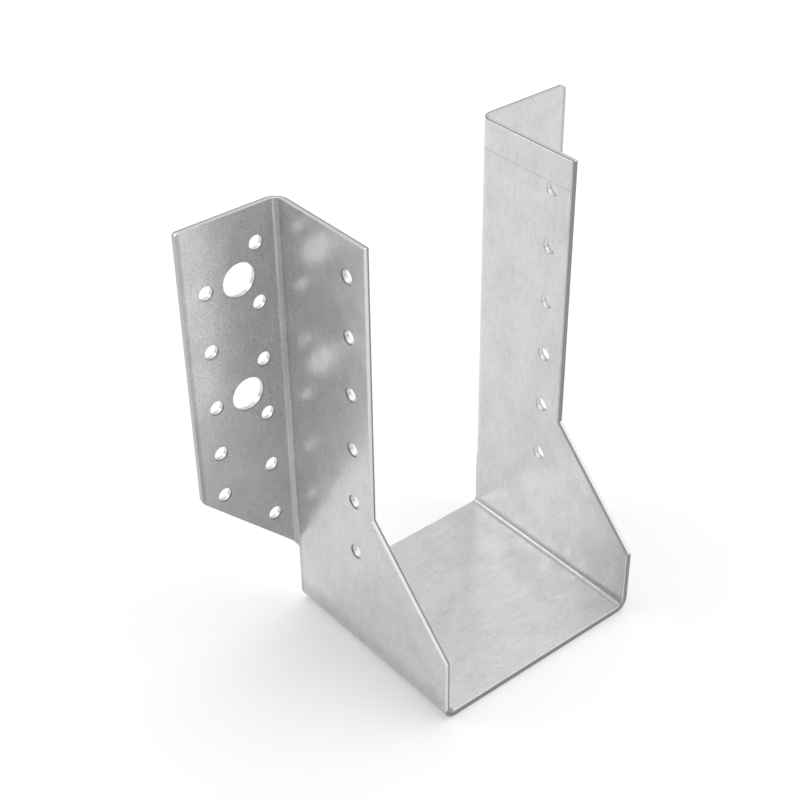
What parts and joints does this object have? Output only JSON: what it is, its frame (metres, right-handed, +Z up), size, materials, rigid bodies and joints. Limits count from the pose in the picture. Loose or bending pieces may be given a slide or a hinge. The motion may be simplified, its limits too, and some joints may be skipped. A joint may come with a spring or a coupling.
{
  "type": "joist hanger",
  "caption": "Face-mount joist hanger: a U-shaped pocket with outward flanges, folded from punched, galvanised steel sheet.",
  "frame": {"origin": "middle of the footprint, level with the underside of the seat", "axes": "+X across the joist, +Y into the header, +Z up"},
  "size_m": [0.148, 0.076, 0.152],
  "materials": {
    "galvanised_steel": "zinc-coated sheet, semi-gloss and faintly mottled, with bright sheared edges"
  },
  "bodies": {
    "root": {"hanger": "galvanised_steel"}
  },
  "joints": []
}
